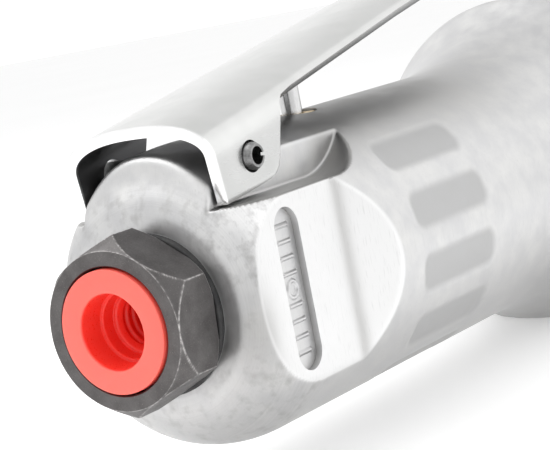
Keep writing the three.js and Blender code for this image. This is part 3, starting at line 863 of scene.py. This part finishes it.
def hexagon_bushing():
    """Inlet bushing: a chamfered hexagon with worn corners, and the thread that screws into the housing."""
    corner = HEX_ACROSS_FLATS / math.sqrt(3)
    chamfer_rear, chamfer_front, rear_face, front_face = 2.27, 5.95, 9.45, 9.9
    x_lines = merged_lines(
        np.linspace(0, HEX_LENGTH, 64),
        cluster(chamfer_rear, 0.3, 7),
        cluster(chamfer_front, 0.3, 7),
        gap=0.05,
    )
    x_lines[-1] = HEX_LENGTH
    facing = np.arange(6) * math.pi / 3 + math.pi / 6 - HEX_TURN
    corners = [cluster(angle + math.pi / 6, 0.03, 9) for angle in facing]
    angles = merged_lines(
        np.arange(240) * math.tau / 240, np.mod(np.concatenate(corners), math.tau), gap=0.004
    )
    x_grid, angle_grid = np.meshgrid(x_lines, angles, indexing="ij")
    rounded = np.interp(
        x_grid,
        [0, chamfer_rear, chamfer_front, HEX_LENGTH],
        [rear_face, corner, corner + 0.05, front_face],
    )
    flats, far, least = [], 1e3, 0.3
    for face in facing:
        towards = np.cos(angle_grid - face)
        flats.append(np.where(towards > least, HEX_ACROSS_FLATS / 2 / np.maximum(towards, least), far))
    flats = np.sort(flats, axis=0)
    soft, rim_width = 0.14, 0.06
    radius = smooth_min(rounded, smooth_min(flats[0], flats[1], soft), soft)
    crispness = (np.minimum(rounded, flats[0]) - radius) / (soft / 4)
    rear_rim = np.exp(-x_grid / rim_width)

    crest, ridge, pitch, thread_end, bushing_front = 8.05, 0.25, 1.34, 22.2, 22.5
    thread = [
        (x, crest + ridge * math.cos(x * math.tau / pitch))
        for x in np.arange(HEX_LENGTH + 0.6, thread_end, 0.22)
    ]
    recess, recess_front, mouth_chamfer = 7.6, 2.4, 0.15
    inner = circle_rows([
        (HEX_LENGTH, 8.1),
        *thread,
        (bushing_front, 7.9), (bushing_front, 5.9), (recess_front, 6.25), (recess_front, recess),
        (0.2, recess), (0.0, recess + mouth_chamfer), (0.0, 8.6), (0.0, 9.25), (0.0, 9.38),
    ], angles)
    worn = np.concatenate([np.maximum(crispness, 0.6 * rear_rim), np.zeros(inner.shape[:2])])
    outer = polar_rows(x_grid, radius, angle_grid)
    piece = sleeve("hexagon_inlet_bushing", outer, inner, {"edges": np.clip(worn, 0, 1)})
    finished(piece, "black_oxide_steel", "inlet_bushing", crisp=40)


def seal_ring():
    """Rubber ring between the hexagon and the housing, with a step where it is squeezed out."""
    rear, front, bore, seat, squeezed = 7.3, 8.6, 8.62, 9.4, 9.85
    piece = turned("inlet_gasket", [
        (rear, bore, 0.1), (rear, squeezed - 0.1, 0.3), (rear + 0.45, squeezed, 0.1),
        (rear + 0.85, squeezed, 0.2), (rear + 0.85, seat + 0.05, 0.1), (front, seat, 0.15),
        (front, bore, 0.1),
    ])
    finished(piece, "black_rubber", "inlet_seal_ring")


def dust_plug():
    """Flanged plug with a stepped, threaded blind hole."""
    rear, flange = measured("inlet_dust_plug", "x")[0], measured("inlet_dust_plug", "y")[1]
    threads, root, crest, pitch, first = [], 3.4, 3.05, 1.3, 10.3
    for ridge in range(4):
        x = first - pitch * ridge
        threads += [(x + 0.25, crest, 0.1), (x, root, 0.1), (x - 0.45, root, 0.1), (x - 0.7, crest, 0.1)]
    hole_end, front, body_rear_radius, body_front_radius = 12.0, 13.2, 5.5, 5.3
    piece = turned("red_dust_plug", [
        (hole_end, 0, 0), (hole_end, 3.0, 0.4),
        *threads,
        (4.9, 3.5, 0.3), (4.9, 3.95, 0.12), (3.1, 4.0, 0.3), (3.1, 4.42, 0.12),
        (rear + 0.3, 4.5, 0.2), (rear, 4.65, 0.1), (rear, flange - 0.06, 0.15),
        (PLUG_FLANGE_FRONT, flange, 0.2), (PLUG_FLANGE_FRONT, body_rear_radius, 0.1),
        (front - 0.6, body_front_radius, 0.4), (front, body_front_radius - 0.4, 0.3), (front, 0, 0),
    ], solid=True)
    # the rear face: rougher, and painted pale in the material as a painted sheen
    painted(piece, lambda points: {"face": 1 - smooth_step(points[:, 0], rear + 0.05, rear + 0.3)})
    finished(piece, "red_plastic", "inlet_dust_plug", crisp=50)


# ------------------------------ lever, its pin and the valve stem


def lever_top(x):
    """Height of the middle of the lever's crown."""
    return LEVER_HEIGHT_AT_INLET + LEVER_SLOPE * x


def lever_half_section():
    """Half of the lever's section: y, depth below the top line, and length along it from the middle."""
    share = np.sin(np.linspace(0, math.pi / 2, CROWN_STEPS))
    drop = CROWN_DROP * (1 - (1 - share ** CROWN_POWER) ** (1 / CROWN_POWER))
    leg = 14
    leg_depth = np.linspace(CROWN_DROP, CROWN_DROP + leg, CROWN_STEPS)[1:]
    half_y = np.concatenate([LEVER_HALF_WIDTH * share, np.full(len(leg_depth), LEVER_HALF_WIDTH)])
    depth = np.concatenate([drop, leg_depth])
    length = np.concatenate([[0], np.cumsum(np.hypot(np.diff(half_y), np.diff(depth)))])
    return half_y, depth, length


def lever_masks(points):
    """Masks for the lever: its duller inside with painted shade, and a painted highlight on its sheared rear
    edge.
    """
    x, y, z = points.T
    width = LEVER_HALF_WIDTH - LEVER_TAPER * np.maximum(x - LEVER_TAPER_START, 0)
    down = lever_top(x) - z
    height = np.clip(1 - down / CROWN_DROP, 0, 1)
    level = (np.abs(y) / width) ** CROWN_POWER + height ** CROWN_POWER
    # painted highlight along the sheared rear edge
    rear_edge = 1 - smooth_step(x - LEVER_REAR - LEVER_LEAN * down, 0.1, 0.3)
    # painted shade: the inside of the sheet, and a fifth of it on the legs, outside too
    inner = np.maximum(1 - smooth_step(level, 0.78, 0.92), 0.2 * smooth_step(down, 4.0, 6.0))
    return {"inner": inner * (1 - rear_edge), "edges": rear_edge}


def lever_edge():
    """The lever's lower edge as [x, z] places: the ear round the pin, then along under the crown."""
    front, crown_edge = LEVER_FRONT + 2, 2.0
    return np.array([
        (LEVER_REAR, 11.6), (11.2, 11.7), (18.0, 12.45), (20.6, 12.85),
        (21.9, 13.25), (22.8, 13.95), (23.4, 15.0), (25.4, 20.2),
        (26.0, 21.4), (27.2, 22.2), (30.0, lever_top(30) - crown_edge - 0.6),
        (62.0, lever_top(62) - crown_edge), (front, lever_top(front) - crown_edge),
    ])


def lever_sheet():
    """The lever's outer surface, bent down at the sides, narrowing forward to a round tip."""
    half_y, depth, length = lever_half_section()
    edge_x, edge_z = lever_edge().T
    tip = LEVER_HALF_WIDTH - LEVER_TAPER * (LEVER_FRONT - LEVER_TAPER_START)
    tip_middle = LEVER_FRONT - tip
    ear_front, neck_front, lean_reach = 22, 30, 8
    rows_x = merged_lines(
        np.linspace(LEVER_REAR, ear_front, 26),
        np.linspace(ear_front, neck_front, 50),
        np.linspace(neck_front, tip_middle, 60),
        tip_middle + tip * np.sin(np.linspace(0, math.radians(88.5), 26)),
        gap=0.02,
    )
    share = np.linspace(-1, 1, 61)
    points = []
    for x in rows_x:
        top = lever_top(x)
        narrowed = 1 - LEVER_TAPER * max(x - LEVER_TAPER_START, 0) / LEVER_HALF_WIDTH
        reach = np.interp(top - np.interp(x, edge_x, edge_z), depth, length)
        if x > tip_middle:
            plan = math.sqrt(max(tip ** 2 - (x - tip_middle) ** 2, 0.01)) / narrowed
            reach = min(reach, np.interp(plan, half_y[:CROWN_STEPS], length[:CROWN_STEPS]))
        along = np.abs(share) * reach
        y = np.sign(share) * np.interp(along, length, half_y) * narrowed
        down = np.interp(along, length, depth)
        lean = LEVER_LEAN * down * max(1 - (x - LEVER_REAR) / lean_reach, 0)
        points.extend(zip(x + lean, y, top - down))
    faces = loop_grid(len(rows_x), len(share), wrap_columns=False)
    return new_object("throttle_lever_sheet", points, faces)


def throttle_lever():
    """Bent sheet lever with an ear each side for the pin."""
    sheet = lever_sheet()
    turned_outward(sheet.data, lambda work: sum(face.normal.z for face in work.faces) < 0)
    thick = sheet.modifiers.new("sheet", "SOLIDIFY")
    thick.thickness = LEVER_SHEET * MM
    thick.offset = -1
    thick.use_even_offset = True
    rim = sheet.modifiers.new("sheared edge", "BEVEL")
    rim.width = 0.14 * MM
    rim.segments = 2
    rim.limit_method = "ANGLE"
    rim.angle_limit = math.radians(55)
    applied(sheet)
    past_ear = 20
    drilled(sheet, [pin_drill(past_ear)])
    painted(sheet, lever_masks)
    finished(sheet, "nickel_plate", "throttle_lever", body="lever", crisp=40)


def spring_pin():
    """A rolled tube, open along its front, with chamfered ends."""
    half_length = measured("lever_pin", "y")[1]
    outer, inner, edge, opening = PIN_HOLE_RADIUS - 0.3, 1.1, 0.25, 0.17
    loop = [
        (-half_length, inner),
        (-half_length, outer - edge),
        (-half_length + edge * 1.5, outer),
        (half_length - edge * 1.5, outer),
        (half_length, outer - edge),
        (half_length, inner),
    ]
    turns = np.linspace(math.pi / 2 + opening, math.pi / 2 + math.tau - opening, 72)
    points = [
        (PIVOT_X + radius * math.sin(turn), y, PIVOT_Z + radius * math.cos(turn))
        for turn in turns
        for y, radius in loop
    ]
    piece = new_object("slotted_spring_pin", points, capped_loops(len(turns), len(loop)))
    finished(piece, "pin_steel", "lever_pin")


def stem():
    """Ground steel pin that the lever pushes down."""
    low, high = measured("valve_stem", "z")
    radius, chamfer = 1.4, 0.3
    piece = bar("throttle_valve_stem", (STEM_X, 0, low), (STEM_X, 0, high), radius, 48, chamfer)
    finished(piece, "ground_steel", "valve_stem", body="stem")


# ------------------------------ front end


def front_cylinder():
    """Barrel with a spanner nut, a threaded nose and the exhaust ports under the deflector."""
    bore, barrel, relief, skirt, nose, shank = 9.75, 14.9, 13.1, 16.5, 12.6, 5.15
    rear, relief_rear, relief_front = 64.3, 108.0, 110.6
    nut, nut_flats, nut_rear, nut_front = 20.5, 18.0, 115.6, 125.0
    skirt_front, bore_front, nose_rear = 139.0, 141.8, 147.0
    profile = np.array(rounded_profile([
        (rear, bore, 0.2), (rear, barrel, 0.4), (relief_rear, barrel, 0.1), (relief_rear, relief, 0.1),
        (relief_front, relief, 0.1), (relief_front, barrel, 0.1), (nut_rear, barrel, 0.1),
        (nut_rear, nut - 0.8, 0.15), (nut_rear + 0.8, nut, 0.2), (nut_front - 1.1, nut, 0.3),
        (nut_front, nut - 1.0, 0.2), (nut_front, skirt, 0.3), (skirt_front, skirt, 1.5),
        (nose_rear, nose, 1.5), (NOSE_FRONT - 1.2, nose, 0.3), (NOSE_FRONT, nose - 1.2, 0.3),
        (NOSE_FRONT, shank + 0.8, 0.2), (NOSE_FRONT - 0.8, shank, 0.2), (bore_front, shank, 0.2),
        (bore_front, bore, 0.2),
    ], 4))
    angles = np.arange(240) * math.tau / 240
    x, radius = profile.T[:, :, None]
    in_nut = (x > nut_rear - 0.1) & (x < nut_front + 0.1) & (radius > nut_flats)
    to_flats = nut_flats / np.maximum(np.abs(np.sin(angles)), 1e-6)
    radius = np.where(in_nut, np.minimum(radius, to_flats), radius)
    points = polar_rows(x, radius, angles)
    faces = loop_grid(len(profile), len(angles), wrap_rows=True)
    piece = new_object("front_cylinder", points.reshape(-1, 3), faces)
    ports, port_x, inside, outside, port_radius = 6, 131, 6, 20, 1.8
    turns = math.radians(30) + np.arange(ports) * math.tau / ports
    starts, ends = polar_rows(port_x, np.array([[inside], [outside]]), turns)
    drilled(piece, [bar("port_drill", start, end, port_radius, 32) for start, end in zip(starts, ends)])
    finished(piece, "cylinder_steel", "cylinder", crisp=30)


def spring_lock_ring():
    """Plain ring between the housing and the nut."""
    rear, front, bore, rim = 113.3, 115.3, 15.2, 19.5
    profile = [(rear, bore, 0.2), (rear, rim, 0.4), (front, rim, 0.4), (front, bore, 0.2)]
    piece = turned("barrel_lock_ring", profile)
    finished(piece, "ground_steel", "lock_ring")


def deflector():
    """Rubber sleeve that turns the exhaust forward, with grooves round it for grip."""
    rear, front, neck, inside, outside, groove_depth = 126.0, 139.0, 16.8, 18.1, 19.6, 0.45
    grooves = []
    for i in range(3):
        middle = 128.9 + i * 2.2
        for offset, depth in ((-0.5, 0), (-0.2, groove_depth), (0.2, groove_depth), (0.5, 0)):
            grooves.append((middle + offset, outside - depth, 0.15))
    piece = turned("rubber_exhaust_deflector", [
        (rear, neck, 0.2), (rear, 18.4, 0.4), (127.3, outside - 0.3, 0.15),
        *grooves,
        (135.5, outside, 0.5), (front, 18.9, 0.3), (front, inside, 0.3), (128.5, inside, 0.3),
        (128.5, neck, 0.2),
    ])
    finished(piece, "black_rubber", "exhaust_deflector")


def beehive_spring():
    """Retainer spring: three turns seated on the nose thread, then narrowing to the chisel's eye."""
    wire, wide, narrow, turns, seated_turns = 2.0, 14.9, 8.2, 7.5, 3.0
    rear, seated, front = 150.5, 166.0, 200.0
    steps, sides = 600, 20
    share = np.linspace(0, 1, steps + 1)
    seat = seated_turns / turns
    narrowing = np.clip((share - seat) / (1 - seat), 0, 1)
    on_seat = rear + (seated - rear) * share / seat
    x = np.where(share < seat, on_seat, seated + (front - seated) * narrowing)
    radius = wide + (narrow - wide) * (1 - np.cos(narrowing * math.pi)) / 2
    angle = share * turns * math.tau
    centre = polar_rows(x, radius, angle)
    ahead = np.gradient(centre, axis=0)
    ahead /= np.linalg.norm(ahead, axis=1)[:, None]
    outward = polar_rows(0, 1, angle)
    outward -= ahead * np.sum(ahead * outward, axis=1)[:, None]
    outward /= np.linalg.norm(outward, axis=1)[:, None]
    third = np.cross(ahead, outward)
    turn = (np.arange(sides) * math.tau / sides)[None, :, None]
    points = centre[:, None] + wire * (np.cos(turn) * outward[:, None] + np.sin(turn) * third[:, None])
    faces = capped_loops(steps + 1, sides)
    piece = new_object("beehive_retainer_spring", points.reshape(-1, 3), faces)
    finished(piece, "spring_steel", "retainer_spring")


# ------------------------------ build the tool


def refinish_kept_nodes():
    """Every CAD node that stays gets the finish of its material slot."""
    node_slots = {part["node"]: part["material_slot"] for part in frame["record"]["subparts"]}
    for name, node in frame["nodes"].items():
        for material_slot in node.material_slots:
            material_slot.material = FINISHES[node_slots[name]]


refinish_kept_nodes()
housing()
hexagon_bushing()
seal_ring()
dust_plug()
throttle_lever()
spring_pin()
stem()
front_cylinder()
spring_lock_ring()
deflector()
beehive_spring()

# ------------------------------ floor, light and camera


def floor():
    """A pale floor that glows faintly near the tool, so that the tool stands on near white."""
    look = Look("studio_floor")
    cloud = look.noise(180, 2)
    colour = look.mixed(cloud, grey(0.90), grey(0.93))
    away = look.add("ShaderNodeVectorMath", {0: look.object_space}, operation="LENGTH").outputs["Value"]
    look.put(look.shader.inputs["Emission Color"], colour)
    look.put(look.shader.inputs["Emission Strength"], look.ranged(away, 0.12, 0.32, 0.32, 0.0))
    half = 4.0
    mesh = bpy.data.meshes.new("studio_floor")
    corners = [(-half, -half, 0), (half, -half, 0), (half, half, 0), (-half, half, 0)]
    mesh.from_pydata(corners, [], [(0, 1, 2, 3)])
    mesh.materials.append(look.done(colour, look.ranged(cloud, 0.3, 0.7, 0.7, 0.8), metallic=0.0))
    linked("studio_floor", mesh)


def softbox(name, place, width, height, power):
    """A large soft light aimed at the grip. Its place is in tool millimetres, its size in metres."""
    data = bpy.data.lights.new(name, "AREA")
    data.shape = "RECTANGLE"
    data.size, data.size_y = width, height
    data.energy = power
    lamp = linked(name, data)
    start, aim = Vector(placed(place)), Vector(placed([30, 0, 0]))
    lamp.location = start
    lamp.rotation_mode = "QUATERNION"
    lamp.rotation_quaternion = (aim - start).to_track_quat("-Z", "Y")


def studio_world():
    """White surroundings, greyer high in front and low at the rear right, for soft bands in the metal."""
    world = bpy.data.worlds.new("studio")
    world.use_nodes = True
    bpy.context.scene.world = world
    sky = Nodes(world.node_tree)
    direction = sky.add("ShaderNodeTexCoord").outputs["Generated"]

    def facing(towards, low, high):
        """1 towards a direction, falling to 0 as the cosine goes from high to low."""
        unit = (np.array(towards) / np.linalg.norm(towards)).tolist()
        cosine = sky.add("ShaderNodeVectorMath", {0: direction, 1: unit}, operation="DOT_PRODUCT")
        return sky.ranged(cosine.outputs["Value"], low, high, 0, 1, interpolation_type="SMOOTHSTEP")

    high_front = facing((0.72, 0.1, 0.69), 0.78, 0.97)
    rear_right = facing((-0.8, -0.6, 0.0), 0.55, 0.95)
    level = sky.math("SUBTRACT", 1.1, sky.math("MULTIPLY", high_front, 0.15))
    level = sky.math("SUBTRACT", level, sky.math("MULTIPLY", rear_right, 0.35))
    background = sky.nodes["Background"]
    sky.put(background.inputs["Strength"], level)
    sky.put(background.inputs["Color"], (1.0, 1.0, 1.0, 1.0))


def camera():
    """At the tool's rear right, low, with a slight roll, looking forward along the body."""
    data = bpy.data.cameras.new("camera")
    data.lens = 126.2
    data.sensor_width = 36
    data.clip_start = 0.01
    data.clip_end = 50
    viewer = linked("camera", data)
    azimuth, dip, roll = math.radians(35.42), math.radians(6.774), math.radians(11.08)
    place = placed([-165.74, -142.97, 34.42])
    ahead = np.array([math.cos(azimuth) * math.cos(dip), math.sin(azimuth) * math.cos(dip), -math.sin(dip)])
    level_right = np.array([math.sin(azimuth), -math.cos(azimuth), 0.0])
    right = math.cos(roll) * level_right - math.sin(roll) * np.cross(level_right, ahead)
    up = np.cross(right, ahead)
    turn = np.stack([right, up, -ahead], axis=1)
    viewer.matrix_world = Matrix.Translation(place.tolist()) @ Matrix(turn.tolist()).to_4x4()
    bpy.context.scene.camera = viewer


floor()
studio_world()
softbox("key", [-60, 260, 520], width=0.5, height=0.5, power=1.6)
softbox("fill", [420, -420, 200], width=1.2, height=0.9, power=0.9)
camera()
bpy.context.scene.view_settings.view_transform = "Standard"
